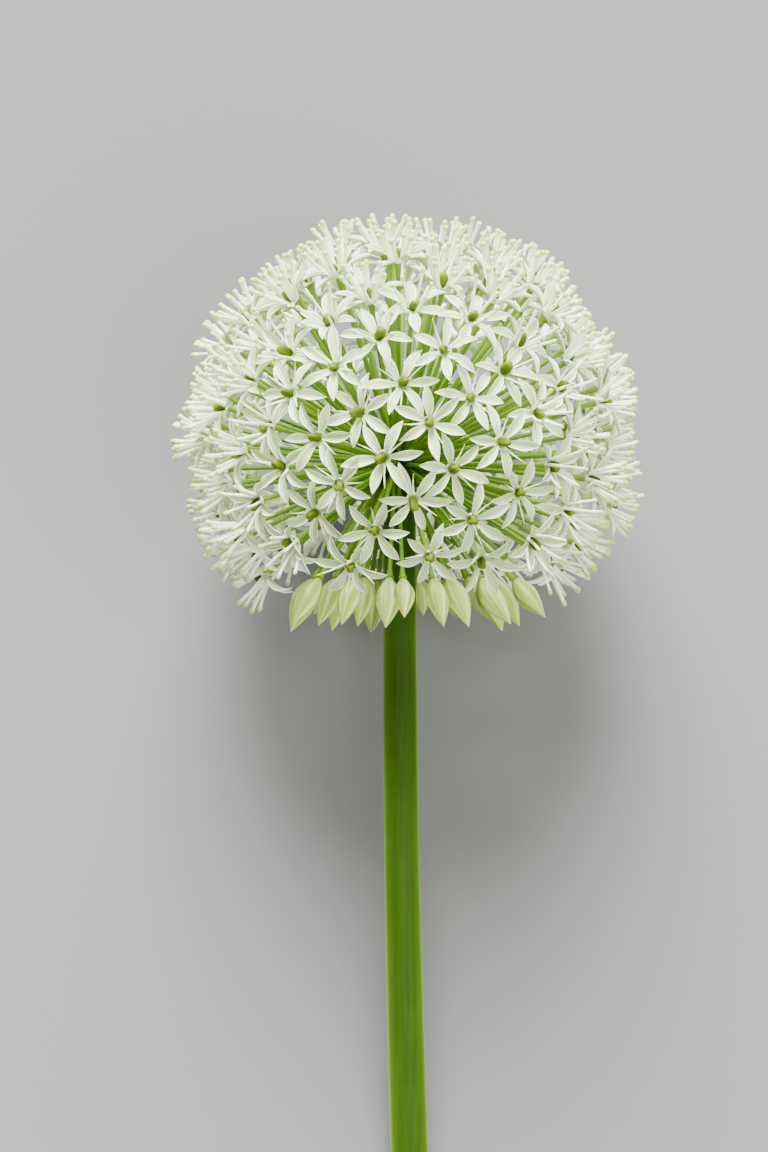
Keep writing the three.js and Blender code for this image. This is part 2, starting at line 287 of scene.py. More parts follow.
class AlliumSizes(bpy.types.PropertyGroup):
    """Sizes of the fine pieces."""

    tepal_length: length_setting(
        "Tepal length", "From the middle of a floret to the tip of a tepal", 10.9, 6, 14
    )
    tepal_width: length_setting("Tepal width", "Widest place of a tepal", 2.95, 1, 6)
    stamen_length: length_setting(
        "Stamen length", "Longest stamens, from their foot to the tip of the anther", 9.6, 3, 11
    )
    anther_width: length_setting(
        "Anther width", "Thickness of a stamen at its rounded tip", 1.8, 0.6, 2.2
    )
    stamen_splay: FloatProperty(
        name="More splay",
        description="How much further the stamens lean out from their floret's middle",
        default=0,
        min=math.radians(-15),
        max=math.radians(20),
        unit="ROTATION",
        subtype="ANGLE",
    )
    ovary_height: length_setting(
        "Ovary height", "How far the ovary stands above the foot of the tepals", 3.6, 1, 5
    )
    ovary_width: length_setting(
        "Ovary width", "Thickness of the ovary across its lobes", 2.75, 1, 4
    )
    pedicel_width: length_setting(
        "Stalk width", "Thickness of the thin stalk under each bloom", 1.3, 0.6, 2
    )
    bud_length: length_setting(
        "Bud length", "From the top of its stalk to the tip of a bud", 15, 6, 18
    )
    bud_width: length_setting("Bud width", "Thickness of a bud across its folds", 6.6, 2, 8)


class AlliumColours(bpy.types.PropertyGroup):
    """Colours of the fine pieces and of the floor."""

    petal: colour_setting("Petal", "Upper face of the tepals", (0.6, 0.74, 0.36))
    petal_back: colour_setting(
        "Petal back", "Lower face of the tepals, near the stalk", (0.42, 0.54, 0.15)
    )
    anther: colour_setting("Anther", "Tips of the stamens", (0.46, 0.63, 0.2))
    ovary: colour_setting("Ovary", "Middle of a floret", (0.062, 0.107, 0.0006))
    stalk: colour_setting(
        "Stalk", "Thin stalks between the stem and the blooms", (0.115, 0.245, 0.002)
    )
    bud: colour_setting("Bud", "Folded buds round the stem", (0.37, 0.49, 0.065))
    stem: colour_setting("Stem", "Thick stem", (0.0138, 0.0405, 0.0001))
    floor: colour_setting("Floor", "Plain floor under the flower", (0.138, 0.142, 0.135))


# Where the blooms stand.


class Bloom:
    """One floret or bud: its number, place on the spiral, and frame on the ball."""

    def __init__(self, number, place, radius):
        around = Matrix.Rotation(TURN, 3, "Z")
        self.number = number
        self.place = around @ place.normalized()
        self.out = direction(self.place)
        self.side = AXIS.cross(self.out).normalized()
        self.up = self.out.cross(self.side)
        self.spin = noise(number, 3) * math.tau
        self.point = MIDDLE + self.out * radius


def noise(number, draw):
    """A repeatable number from 0 to 1 for one draw of one bloom, as on the frame.
    Each use has a draw of its own."""
    angle = number * NOISE_PER_NUMBER + draw * NOISE_PER_DRAW + SEED
    value = math.sin(angle) * NOISE_GAIN
    return value - math.floor(value)


def swing(number, draw, most):
    """A repeatable number from -most to most."""
    return (noise(number, draw) * 2 - 1) * most


def direction(place):
    """A unit direction from a place: x to the right, y to the back, z to the top."""
    return (RIGHT * place.x - FRONT * place.y + AXIS * place.z).normalized()


def spiral(n, count, highest, lowest, first):
    """The n-th of count places on a golden-angle spiral between two angles."""
    top = math.cos(highest)
    z = top - (n + 0.5) * (top - math.cos(lowest)) / count
    across = math.sqrt(1 - z * z)
    angle = GOLDEN * (n + first)
    return Vector((math.cos(angle) * across, math.sin(angle) * across, z))


def open_places():
    """Places of the open florets: the spiral, scattered and pushed apart again."""
    floor = SHELL_RADIUS * math.cos(OPEN_LOWEST)
    places = []
    for i in range(OPEN_COUNT):
        place = spiral(i, OPEN_COUNT, 0, OPEN_LOWEST, 0) * SHELL_RADIUS
        place += Vector([swing(i, draw, OPEN_SCATTER) for draw in range(3)])
        places.append(place.normalized() * SHELL_RADIUS)
    for _ in range(SPREADING_PASSES):
        moved = []
        for place in places:
            push = Vector((0, 0, 0))
            for other in places:
                gap = (place - other).length
                if 0 < gap < OPEN_CLOSEST:
                    push += (place - other) * ((OPEN_CLOSEST - gap) / (2 * gap))
            new = (place + push).normalized() * SHELL_RADIUS
            if new.z < floor:
                across = math.sqrt(SHELL_RADIUS**2 - floor**2) / math.hypot(new.x, new.y)
                new = Vector((new.x * across, new.y * across, floor))
            moved.append(new)
        places = moved
    return places


def open_blooms():
    """The open florets, each at one of a few depths."""
    blooms = []
    for i, place in enumerate(open_places()):
        depth = ((i % SHELLS) - (SHELLS - 1) / 2) * SHELL_STEP
        blooms.append(Bloom(i, place, SHELL_RADIUS + depth))
    return blooms


def bud_blooms():
    """The buds, in a ring round the stem."""
    blooms = []
    for n in range(BUD_COUNT):
        place = spiral(n, BUD_COUNT, BUD_HIGHEST, BUD_LOWEST, OPEN_COUNT)
        part = n / (BUD_COUNT - 1)
        radius = BUD_HIGHEST_RADIUS + (BUD_LOWEST_RADIUS - BUD_HIGHEST_RADIUS) * part
        blooms.append(Bloom(OPEN_COUNT + n, place, radius))
    return blooms


def cymes(blooms):
    """The blooms of each spiral row, a few at a time."""
    groups = []
    for row in range(ROWS):
        members = blooms[row::ROWS]
        for first in range(0, len(members), CYME):
            groups.append(members[first : first + CYME])
    return groups


def stalk_foot(bloom):
    """Where a bloom's stalk leaves the receptacle, just inside its skin."""
    x, y, z = bloom.place
    angle = math.atan2(math.hypot(x, y), z) * FOOT_SQUEEZE
    around = math.atan2(y, x)
    across = math.sin(angle)
    place = (math.cos(around) * across, math.sin(around) * across, math.cos(angle))
    return FOOT + direction(Vector(place)) * (RECEPTACLE_RADIUS - FOOT_SINK)


# Modelling helpers.


def select_only(pieces):
    """Selects these pieces and no others, and makes the first one active."""
    bpy.ops.object.select_all(action="DESELECT")
    for piece in pieces:
        piece.select_set(True)
    bpy.context.view_layer.objects.active = pieces[0]


def open_edit(piece):
    """Opens one piece alone in edit mode."""
    select_only([piece])
    bpy.ops.object.mode_set(mode="EDIT")


def close_edit():
    """Leaves edit mode."""
    bpy.ops.object.mode_set(mode="OBJECT")


def pick(piece, test):
    """Selects the vertices of the open piece that pass a test, and what they span."""
    bpy.ops.mesh.select_all(action="DESELECT")
    mesh = bmesh.from_edit_mesh(piece.data)
    for vertex in mesh.verts:
        vertex.select_set(test(vertex))
    mesh.select_flush(True)
    bmesh.update_edit_mesh(piece.data, loop_triangles=False, destructive=False)


def pick_all():
    """Selects everything in the open piece."""
    bpy.ops.mesh.select_all(action="SELECT")


def new_piece(name):
    """Names the primitive that was just added."""
    piece = bpy.context.object
    piece.name = name
    piece.data.name = name
    return piece


def move(x, y, z):
    """Moves what is selected."""
    bpy.ops.transform.translate(value=(x, y, z))


def resize_across(factor, level=0):
    """Resizes what is selected across z, about a point of the z axis."""
    bpy.ops.transform.resize(value=(factor, factor, 1), center_override=(0, 0, level))


def smooth(piece, degrees=60):
    """Shades a piece smooth, except over edges sharper than an angle."""
    select_only([piece])
    bpy.ops.object.shade_smooth_by_angle(angle=math.radians(degrees))


def frame_matrix(origin, out, towards):
    """A frame at a point: z along out, and x as near as can be to towards."""
    z = out.normalized()
    x = (towards - z * towards.dot(z)).normalized()
    y = z.cross(x)
    turn = Matrix((x, y, z)).transposed().to_4x4()
    return Matrix.Translation(origin) @ turn


def turned(degrees, axis):
    """A turn about one of the axes."""
    return Matrix.Rotation(math.radians(degrees), 4, axis)


def spun(number, draw):
    """A turn about the z axis by any angle, as one draw gives it."""
    return Matrix.Rotation(noise(number, draw) * math.tau, 4, "Z")


def bearing(vertex):
    """Degrees from the x axis to a vertex, round the z axis."""
    return math.degrees(math.atan2(vertex.co.y, vertex.co.x))


def placed_copy(model, matrix):
    """A copy of a model with its own mesh, placed by a matrix."""
    piece = model.copy()
    piece.data = model.data.copy()
    piece.matrix_world = matrix
    bpy.context.scene.collection.objects.link(piece)
    return piece


def join_pieces(name, parts):
    """Joins placed parts to one piece whose object sits at the origin."""
    select_only(parts)
    bpy.ops.object.join()
    piece = new_piece(name)
    bpy.ops.object.transform_apply(location=True, rotation=True, scale=True)
    return piece


def drop(models):
    """Removes models once all their copies are made."""
    for model in models:
        bpy.data.meshes.remove(model.data)


def ringed(name, sides, outline, radius, length, finish, bend=0.0):
    """A closed round form along z: a sphere whose rings take an outline's places
    and radii. bend swings its middle aside by a part of the length."""
    rings = len(outline) - 1
    bpy.ops.mesh.primitive_uv_sphere_add(segments=sides, ring_count=rings, radius=1)
    piece = new_piece(name)
    levels = [-math.cos(math.pi * k / rings) for k in range(rings + 1)]
    members = [
        {v.index for v in piece.data.vertices if abs(v.co.z - level) < 1e-4}
        for level in levels
    ]
    open_edit(piece)
    for k, (place, part) in enumerate(outline):
        level = levels[k]
        across = math.sqrt(max(0, 1 - level * level))
        pick(piece, lambda v, k=k: v.index in members[k])
        if part and across:
            resize_across(radius * part / across, level)
        aside = bend * length * math.sin(math.pi * min(max(place, 0), 1))
        move(aside, 0, place * length - level)
    close_edit()
    piece.data.materials.append(finish)
    smooth(piece)
    return piece


# Materials.


def shader_inputs(finish):
    """The sockets of a material's one shader."""
    return finish.node_tree.nodes["Principled BSDF"].inputs


def new_material(name, roughness, specular):
    """A material with one shader, whose fixed values sit on the shader itself."""
    finish = bpy.data.materials.new(name)
    finish.use_nodes = True
    inputs = shader_inputs(finish)
    inputs["Roughness"].default_value = roughness
    inputs["Specular IOR Level"].default_value = specular
    return finish


def shaded(colour, part):
    """A colour made darker, or lighter with a part over 1."""
    return tuple(min(1, value * part) for value in colour)


def add_node(finish, kind, values=(), **settings):
    """Adds a node, with settings by name and input values by name or number."""
    node = finish.node_tree.nodes.new(kind)
    for key, value in settings.items():
        setattr(node, key, value)
    for key, value in dict(values).items():
        node.inputs[key].default_value = value
    return node


def wire(finish, output, target):
    """Links one socket to another."""
    finish.node_tree.links.new(output, target)


def feed(finish, value, target):
    """Gives a socket its number or its colour, or links another socket to it."""
    if isinstance(value, (int, float)):
        target.default_value = value
    elif isinstance(value, tuple):
        target.default_value = (*value, 1)
    else:
        wire(finish, value, target)


def map_range(finish, source, low, high, to_low, to_high):
    """A value moved from one range to another, and held inside it."""
    values = {1: low, 2: high, 3: to_low, 4: to_high}
    node = add_node(finish, "ShaderNodeMapRange", values, interpolation_type="SMOOTHSTEP")
    wire(finish, source, node.inputs[0])
    return node.outputs[0]


def math_node(finish, operation, first, second=0.5):
    """One sum on a socket and a number, or on two sockets."""
    node = add_node(finish, "ShaderNodeMath", operation=operation)
    feed(finish, first, node.inputs[0])
    feed(finish, second, node.inputs[1])
    return node.outputs[0]


def mix_colour(finish, factor, first, second):
    """Two colours, or sockets with colours, mixed by a factor."""
    node = add_node(finish, "ShaderNodeMix", data_type="RGBA")
    feed(finish, factor, node.inputs[0])
    feed(finish, first, node.inputs[6])
    feed(finish, second, node.inputs[7])
    return node.outputs[2]


def surface_place(finish):
    """The place of a point on the whole flower, in metres."""
    return add_node(finish, "ShaderNodeTexCoord").outputs["Object"]


def leaf_place(finish):
    """The two coordinates of a piece's own UV map: along and across a tepal, and
    round and along a form made of rings."""
    place = add_node(finish, "ShaderNodeTexCoord").outputs["UV"]
    split = add_node(finish, "ShaderNodeSeparateXYZ")
    wire(finish, place, split.inputs[0])
    return split.outputs[0], split.outputs[1]


def mottle(finish, place, scale, detail=3.0):
    """Soft noise from 0 to 1 over a place."""
    node = add_node(finish, "ShaderNodeTexNoise", {"Scale": scale, "Detail": detail})
    wire(finish, place, node.inputs["Vector"])
    return node.outputs["Fac"]


def cells(finish, place, scale):
    """How far a place is from the middle of the small cell that it lies in."""
    node = add_node(finish, "ShaderNodeTexVoronoi", {"Scale": scale})
    wire(finish, place, node.inputs["Vector"])
    return node.outputs["Distance"]


def veins(finish, across, lines, wander):
    """Long fine lines on a leaf: 0 in a groove and 1 on a ridge between two."""
    wobble = mottle(finish, surface_place(finish), 260.0, 2.0)
    shifted = math_node(finish, "MULTIPLY_ADD", wobble, wander)
    wire(finish, across, shifted.node.inputs[2])
    turns = math_node(finish, "MULTIPLY", shifted, lines * math.tau)
    wave = math_node(finish, "SINE", turns)
    return map_range(finish, wave, -1.0, 0.5, 0.0, 1.0)


def set_bump(finish, height, strength, distance):
    """Lets a height disturb the surface."""
    values = {"Strength": strength, "Distance": distance}
    bump = add_node(finish, "ShaderNodeBump", values)
    wire(finish, height, bump.inputs["Height"])
    wire(finish, bump.outputs[0], shader_inputs(finish)["Normal"])


def set_colour(finish, colour):
    """Gives the shader its colour from a socket."""
    wire(finish, colour, shader_inputs(finish)["Base Color"])


def set_translucence(finish, weight, colour_reach, scale):
    """Lets light pass a little way through a thin or juicy part."""
    inputs = shader_inputs(finish)
    inputs["Subsurface Weight"].default_value = weight
    inputs["Subsurface Radius"].default_value = colour_reach
    inputs["Subsurface Scale"].default_value = scale


def tepal_material(name, face, foot, foot_reach, streak):
    """A petal: pale, greener at its foot and along its midline, finely grooved,
    with a painted highlight along its rim and a slow change of tint from floret to floret."""
    finish = new_material(name, 0.5, 0.3)
    along, across = leaf_place(finish)
    place = surface_place(finish)
    ridge = veins(finish, across, 4.0, 0.2)
    grooved = mix_colour(finish, ridge, streak, face)
    tint = map_range(finish, mottle(finish, place, 60.0), 0.42, 0.68, 0.0, 0.2)
    blush = mix_colour(finish, tint, grooved, PETAL_BLUSH)
    from_middle = math_node(finish, "SUBTRACT", across, 0.5)
    off_middle = math_node(finish, "ABSOLUTE", from_middle)
    midline = map_range(finish, off_middle, 0.02, 0.12, 0.5, 0.0)
    fading = map_range(finish, along, 0.1, 0.8, 1.0, 0.15)
    midline = math_node(finish, "MULTIPLY", midline, fading)
    ribbed = mix_colour(finish, midline, blush, foot)
    green = map_range(finish, along, 0.02, foot_reach, 0.85, 0.0)
    rooted = mix_colour(finish, green, ribbed, foot)
    # Painted highlight: a bright line along both edges of the tepal.
    rim = map_range(finish, off_middle, 0.32, 0.42, 0.0, 0.95)
    set_colour(finish, mix_colour(finish, rim, rooted, PETAL_RIM_HIGHLIGHT))
    set_bump(finish, ridge, 0.9, 0.15 * MM)
    set_translucence(finish, 0.1, (1.0, 1.0, 0.6), 0.6 * MM)
    return finish


def stamen_material(colours):
    """A white filament with a pale green, here and there rosy, anther."""
    finish = new_material("stamen", 0.5, 0.3)
    _, along = leaf_place(finish)
    place = surface_place(finish)
    grain = mottle(finish, place, 900.0)
    white = mix_colour(finish, grain, *FILAMENT)
    rosy = map_range(finish, mottle(finish, place, 140.0), 0.52, 0.62, 0.0, 0.65)
    tip = mix_colour(finish, rosy, tuple(colours.anther), ROSY_ANTHER)
    part = map_range(finish, along, 0.56, 0.74, 0.0, 1.0)
    set_colour(finish, mix_colour(finish, part, white, tip))
    set_bump(finish, grain, 0.3, 0.1 * MM)
    set_translucence(finish, 0.2, (1.0, 1.0, 0.6), 0.8 * MM)
    return finish


def ovary_material(colours):
    """A juicy green ovary, with a yellow painted highlight that makes it yellower and brighter
    towards its top.
    """
    finish = new_material("ovary", 0.5, 0.12)
    _, along = leaf_place(finish)
    place = surface_place(finish)
    grain = mottle(finish, place, 1400.0)
    dark = shaded(colours.ovary, 0.55)
    body = mix_colour(finish, grain, dark, tuple(colours.ovary))
    # Painted highlight: lighter and yellower towards the top.
    top = map_range(finish, along, 0.35, 0.95, 0.0, 0.6)
    set_colour(finish, mix_colour(finish, top, body, OVARY_TOP_HIGHLIGHT))
    set_bump(finish, grain, 0.35, 0.12 * MM)
    set_translucence(finish, 0.04, (0.6, 1.0, 0.2), 0.5 * MM)
    return finish


def stalk_material(colours):
    """A thin stalk, full green at the stem and paler near the blooms."""
    finish = new_material("stalk", 0.5, 0.2)
    place = surface_place(finish)
    away = add_node(finish, "ShaderNodeVectorMath", operation="DISTANCE")
    wire(finish, place, away.inputs[0])
    away.inputs[1].default_value = FOOT
    fibre = mottle(finish, place, 500.0)
    dark = shaded(colours.stalk, 0.75)
    green = mix_colour(finish, fibre, dark, tuple(colours.stalk))
    part = map_range(finish, away.outputs["Value"], 28 * MM, 58 * MM, 0.0, 0.62)
    set_colour(finish, mix_colour(finish, part, green, STALK_TOP))
    set_bump(finish, fibre, 0.3, 0.1 * MM)
    set_translucence(finish, 0.15, (0.5, 1.0, 0.2), 0.6 * MM)
    return finish


def bud_material(colours):
    """A folded bud: cream and green streaks along it, with a painted highlight on each ridge
    between its folds, so that the folds stay greener as painted shade.
    """
    finish = new_material("bud", 0.48, 0.35)
    around, along = leaf_place(finish)
    place = surface_place(finish)
    ridge = veins(finish, around, 9.0, 0.08)
    streaked = mix_colour(finish, ridge, shaded(colours.bud, 0.84), tuple(colours.bud))
    # Painted highlight on each ridge between two folds; the folds stay darker and greener as
    # painted shade.
    turns = math_node(finish, "MULTIPLY", around, BUD_FOLDS * math.tau)
    fold = math_node(finish, "SINE", turns)
    light = map_range(finish, fold, 0.1, 1.0, 0.0, 0.7)
    folded = mix_colour(finish, light, streaked, BUD_RIDGE_HIGHLIGHT)
    foot = map_range(finish, along, 0.05, 0.35, 0.8, 0.0)
    green = mix_colour(finish, foot, folded, BUD_FOOT)
    tip = map_range(finish, along, 0.84, 1.0, 0.0, 0.8)
    green = mix_colour(finish, tip, green, BUD_TIP)
    tint = map_range(finish, mottle(finish, place, 90.0), 0.4, 0.7, 0.0, 0.25)
    set_colour(finish, mix_colour(finish, tint, green, BUD_TINT))
    set_bump(finish, ridge, 0.25, 0.12 * MM)
    set_translucence(finish, 0.2, (0.8, 1.0, 0.4), 0.8 * MM)
    return finish


def stem_material(colours):
    """A waxy stem: fine lines along it, a pale bloom and small pale flecks."""
    finish = new_material("stem_skin", 0.6, 0.08)
    place = surface_place(finish)
    stretch = add_node(finish, "ShaderNodeMapping")
    stretch.inputs["Scale"].default_value = (1.0, 0.04, 0.12)
    wire(finish, place, stretch.inputs["Vector"])
    line = mottle(finish, stretch.outputs[0], 900.0, 4.0)
    streak = map_range(finish, line, 0.3, 0.7, 0.0, 1.0)
    dark = shaded(colours.stem, 0.85)
    skin = mix_colour(finish, streak, dark, shaded(colours.stem, 1.2))
    wax = map_range(finish, mottle(finish, place, 45.0, 5.0), 0.45, 0.75, 0.0, 0.12)
    waxy = mix_colour(finish, wax, skin, STEM_WAX)
    fleck = map_range(finish, cells(finish, place, 700.0), 0.05, 0.16, 0.2, 0.0)
    set_colour(finish, mix_colour(finish, fleck, waxy, STEM_FLECK))
    set_bump(finish, line, 0.35, 0.25 * MM)
    set_translucence(finish, 0.08, (0.5, 1.0, 0.2), 1.0 * MM)
    inputs = shader_inputs(finish)
    inputs["Sheen Weight"].default_value = 0.4
    inputs["Sheen Roughness"].default_value = 0.5
    inputs["Sheen Tint"].default_value = STEM_SHEEN
    return finish


def cut_material():
    """The moist pale pith of the cut end, with darker dots of its vessels."""
    finish = new_material("stem_pith", 0.35, 0.5)
    place = surface_place(finish)
    vessels = cells(finish, place, 900.0)
    dots = map_range(finish, vessels, 0.1, 0.3, 0.7, 0.0)
    pith = mix_colour(finish, mottle(finish, place, 300.0), *PITH)
    set_colour(finish, mix_colour(finish, dots, pith, PITH_DOTS))
    set_bump(finish, vessels, 0.4, 0.2 * MM)
    return finish


def floor_material(colours):
    """A plain pale floor with a faint even grain."""
    finish = new_material("floor", 0.85, 0.2)
    grain = mottle(finish, surface_place(finish), 900.0)
    dark = shaded(colours.floor, 0.97)
    set_colour(finish, mix_colour(finish, grain, dark, tuple(colours.floor)))
    set_bump(finish, grain, 0.05, 0.2 * MM)
    return finish


# Fine forms, each modelled once.


def model_tepal(name, sizes, run, upper, lower):
    """One tepal along x: a grid drawn in to the outline, cupped, curved and
    twisted, with a second skin under it that closes it at its rim."""
    rise, fall, twist, aside = run
    rows = len(TEPAL_OUTLINE)
    length = sizes.tepal_length - THROAT
    columns = TEPAL_COLUMNS
    bpy.ops.mesh.primitive_grid_add(x_subdivisions=rows - 1, y_subdivisions=columns, size=1)
    piece = new_piece(name)
    row = {v.index: round((v.co.x + 0.5) * (rows - 1)) for v in piece.data.vertices}
    column = {v.index: round((v.co.y + 0.5) * columns) for v in piece.data.vertices}
    open_edit(piece)
    pick_all()
    bpy.ops.transform.resize(value=(1, sizes.tepal_width, 1), center_override=(0, 0, 0))
    for k in range(columns + 1):
        pick(piece, lambda v, k=k: column[v.index] == k)
        move(0, 0, TEPAL_CUP * abs(2 * k / columns - 1) ** TEPAL_CUP_CURVE)
    spot = Vector((THROAT, 0, 0))
    before = 0
    for k, (place, width) in enumerate(TEPAL_OUTLINE):
        slope = math.radians(rise - fall * (place + before) / 2)
        spot += Vector((math.cos(slope), 0, math.sin(slope))) * (place - before) * length
        before = place
        start = k / (rows - 1) - 0.5
        pick(piece, lambda v, k=k: row[v.index] == k)
        centre = (start, 0, 0)
        bpy.ops.transform.resize(value=(1, width, width), center_override=centre)
        bpy.ops.transform.rotate(
            value=math.radians(twist * place), orient_axis="X", center_override=centre
        )
        move(spot.x - start, aside * length * place**2, spot.z)
    pick_all()
    bpy.ops.mesh.remove_doubles(threshold=WELD)
    bpy.ops.mesh.duplicate()
    bpy.ops.mesh.flip_normals()
    close_edit()
    piece.data.materials.append(upper)
    piece.data.materials.append(lower)
    open_edit(piece)
    piece.active_material_index = 1
    bpy.ops.object.material_slot_assign()
    mesh = bmesh.from_edit_mesh(piece.data)
    inner = {v.index for v in mesh.verts if v.select and not v.is_boundary}
    pick(piece, lambda v: v.index in inner)
    move(0, 0, -TEPAL_THICKNESS)
    pick_all()
    bpy.ops.mesh.remove_doubles(threshold=WELD)
    close_edit()
    smooth(piece)
    return piece


def model_stars(sizes, upper, lower):
    """Stars of tepals in two whorls, a few for each way that they run."""
    stars = {}
    number = 0
    for kind, runs in TEPAL_RUNS.items():
        tepals = [
            model_tepal(f"tepal_{kind}_{k}", sizes, run, upper, lower)
            for k, run in enumerate(runs)
        ]
        stars[kind] = []
        for _ in range(STARS_PER_KIND):
            number += 1
            parts = []
            for k in range(TEPALS):
                draw = number * TEPALS + k
                step = WHORL_STEP * (0.5 if k % 2 else -0.5) - THROAT_DEPTH
                size = 1 + swing(draw, 13, TEPAL_GROWTH)
                width = 1 + swing(draw, 14, TEPAL_BREADTH)
                matrix = turned(360 / TEPALS * k + swing(draw, 11, TEPAL_TURN), "Z")
                matrix = matrix @ Matrix.Translation((0, 0, step))
                matrix = matrix @ turned(swing(draw, 12, TEPAL_LEAN), "Y")
                matrix = matrix @ Matrix.Diagonal((size, width, 1, 1))
                parts.append(placed_copy(tepals[int(noise(draw, 15) * len(tepals))], matrix))
            stars[kind].append(join_pieces(f"star_{number}", parts))
        drop(tepals)
    return stars


def model_collar(finish):
    """The low crown round the ovary where the stamens join, lobed between tepals."""
    bpy.ops.mesh.primitive_torus_add(
        major_segments=12,
        minor_segments=5,
        major_radius=STAMEN_RING,
        minor_radius=COLLAR_THICKNESS / 2,
    )
    piece = new_piece("collar")
    open_edit(piece)
    pick_all()
    tall = COLLAR_HEIGHT / COLLAR_THICKNESS
    bpy.ops.transform.resize(value=(1, 1, tall), center_override=(0, 0, 0))
    gap = 360 / TEPALS
    pick(piece, lambda v: abs(bearing(v) % gap - gap / 2) < NEAR_ANGLE and v.co.z > 0)
    move(0, 0, COLLAR_LOBE)
    close_edit()
    piece.data.materials.append(finish)
    smooth(piece)
    return piece


def model_stamens(sizes, finish):
    """Bundles of stamens on their collar, three of each kind."""
    collar = model_collar(finish)
    sunk = Matrix.Translation((0, 0, -THROAT_DEPTH / 2))
    sunk_ring = Matrix.Translation((STAMEN_RING, 0, -THROAT_DEPTH / 2))
    bundles = []
    for kind, (_, part, width, pointed, rings) in enumerate(STAMEN_KINDS):
        length = sizes.stamen_length * part
        radius = sizes.anther_width / 2 * width
        outline = SPIKE_OUTLINE if pointed else STAMEN_OUTLINE
        stamen = ringed(f"stamen_{kind}", 6, outline, radius, length, finish, STAMEN_BEND)
        places = [
            (360 / count * k + 180 / TEPALS, lean, scatter)
            for count, lean, scatter in rings
            for k in range(count)
        ]
        for variant in range(BUNDLES_PER_KIND):
            parts = [placed_copy(collar, sunk)]
            for k, (around, lean, scatter) in enumerate(places):
                draw = kind * 60 + variant * 12 + k  # each stamen has its own
                out = math.radians(lean + swing(draw, 22, scatter)) + sizes.stamen_splay
                size = 1 + swing(draw, 23, STAMEN_GROWTH)
                size /= max(math.cos(out), LEAST_COSINE)
                matrix = turned(around + swing(draw, 21, STAMEN_TURN), "Z") @ sunk_ring
                matrix = matrix @ Matrix.Rotation(out, 4, "Y") @ spun(draw, 24)
                matrix = matrix @ Matrix.Diagonal((1, 1, size, 1))
                parts.append(placed_copy(stamen, matrix))
            bundles.append(join_pieces(f"stamens_{kind}_{variant}", parts))
        drop([stamen])
    drop([collar])
    return bundles


def model_ovary(sizes, finish):
    """The ovary in the middle of a floret: upright, with a groove between its lobes."""
    lobe = 360 / OVARY_LOBES
    radius = sizes.ovary_width / 2
    piece = ringed("ovary", 12, OVARY_OUTLINE, radius, sizes.ovary_height, finish)
    open_edit(piece)
    pick(piece, lambda v: abs(bearing(v) % lobe - lobe / 2) < NEAR_ANGLE and v.co.z > 0)
    resize_across(OVARY_GROOVE)
    close_edit()
    return piece


def model_bud(name, sizes, finish, fold_turn):
    """A folded bud along z, with folds that deepen and turn towards its tip."""
    sides = 2 * BUD_FOLDS
    outline = [(place, part) for place, part, _ in BUD_OUTLINE]
    length = sizes.bud_length
    piece = ringed(name, sides, outline, sizes.bud_width / 2, length, finish, BUD_BEND)
    levels = [place * length for place, _, _ in BUD_OUTLINE]
    members = [set() for _ in levels]
    for v in piece.data.vertices:
        nearest = min(range(len(levels)), key=lambda k: abs(levels[k] - v.co.z))
        members[nearest].add(v.index)
    step = 360 / sides
    hollow = {v.index for v in piece.data.vertices if round(bearing(v) / step) % 2}
    open_edit(piece)
    for k, (_, _, depth) in enumerate(BUD_OUTLINE[1:-1], start=1):
        pick(piece, lambda v, k=k: v.index in members[k] and v.index in hollow)
        resize_across(1 - depth, levels[k])
        pick(piece, lambda v, k=k: v.index in members[k])
        bpy.ops.transform.rotate(
            value=fold_turn * levels[k] / length,
            orient_axis="Z",
            center_override=(0, 0, levels[k]),
        )
    close_edit()
    smooth(piece)
    return piece


# Assembly.


def model_pedicel(sizes, colours):
    """A thin stalk, one metre long until each copy is given its own length."""
    skin = bpy.data.materials.get("stalk") or stalk_material(colours)
    return ringed("pedicel", 6, PEDICEL_OUTLINE, sizes.pedicel_width / 2, 1, skin)


def stalk_copy(pedicel, start, end, number):
    """A stalk from the receptacle to a bloom, turned so that its bend varies."""
    along = end - start
    turn = Vector((math.cos(number * GOLDEN), math.sin(number * GOLDEN), 0.2))
    matrix = frame_matrix(start, along, turn)
    return placed_copy(pedicel, matrix @ Matrix.Diagonal((1, 1, along.length, 1)))


def star_kind(bloom):
    """High florets and those round the rim rise like cups. Low ones arch back, but
    for those near the middle of the open side."""
    drop = math.degrees(math.acos(bloom.out.dot(AXIS)))
    drop += swing(bloom.number, 31, DROP_SWING)
    aside = math.degrees(math.acos(bloom.out.dot(FRONT)))
    aside += swing(bloom.number, 42, ASIDE_SWING)
    if drop > ARCHED_DROP and aside > ARCHED_ASIDE:
        return "arched"
    if drop < RISING_DROP or aside > RISING_ASIDE:
        return "rising"
    return "spread"


def stamen_kind(bloom):
    """Which kind of stamens a floret carries."""
    if bloom.out.dot(Vector((0, 0, -1))) > math.cos(UNDERSIDE):
        return len(STAMEN_KINDS) - 1
    open_side = FRONT * math.cos(OPEN_SIDE_DROP) - AXIS * math.sin(OPEN_SIDE_DROP)
    angle = math.degrees(math.acos(max(-1, min(1, bloom.out.dot(open_side)))))
    angle += swing(bloom.number, 32, OPEN_SIDE_SWING)
    return next(k for k, kind in enumerate(STAMEN_KINDS) if angle < kind[0])


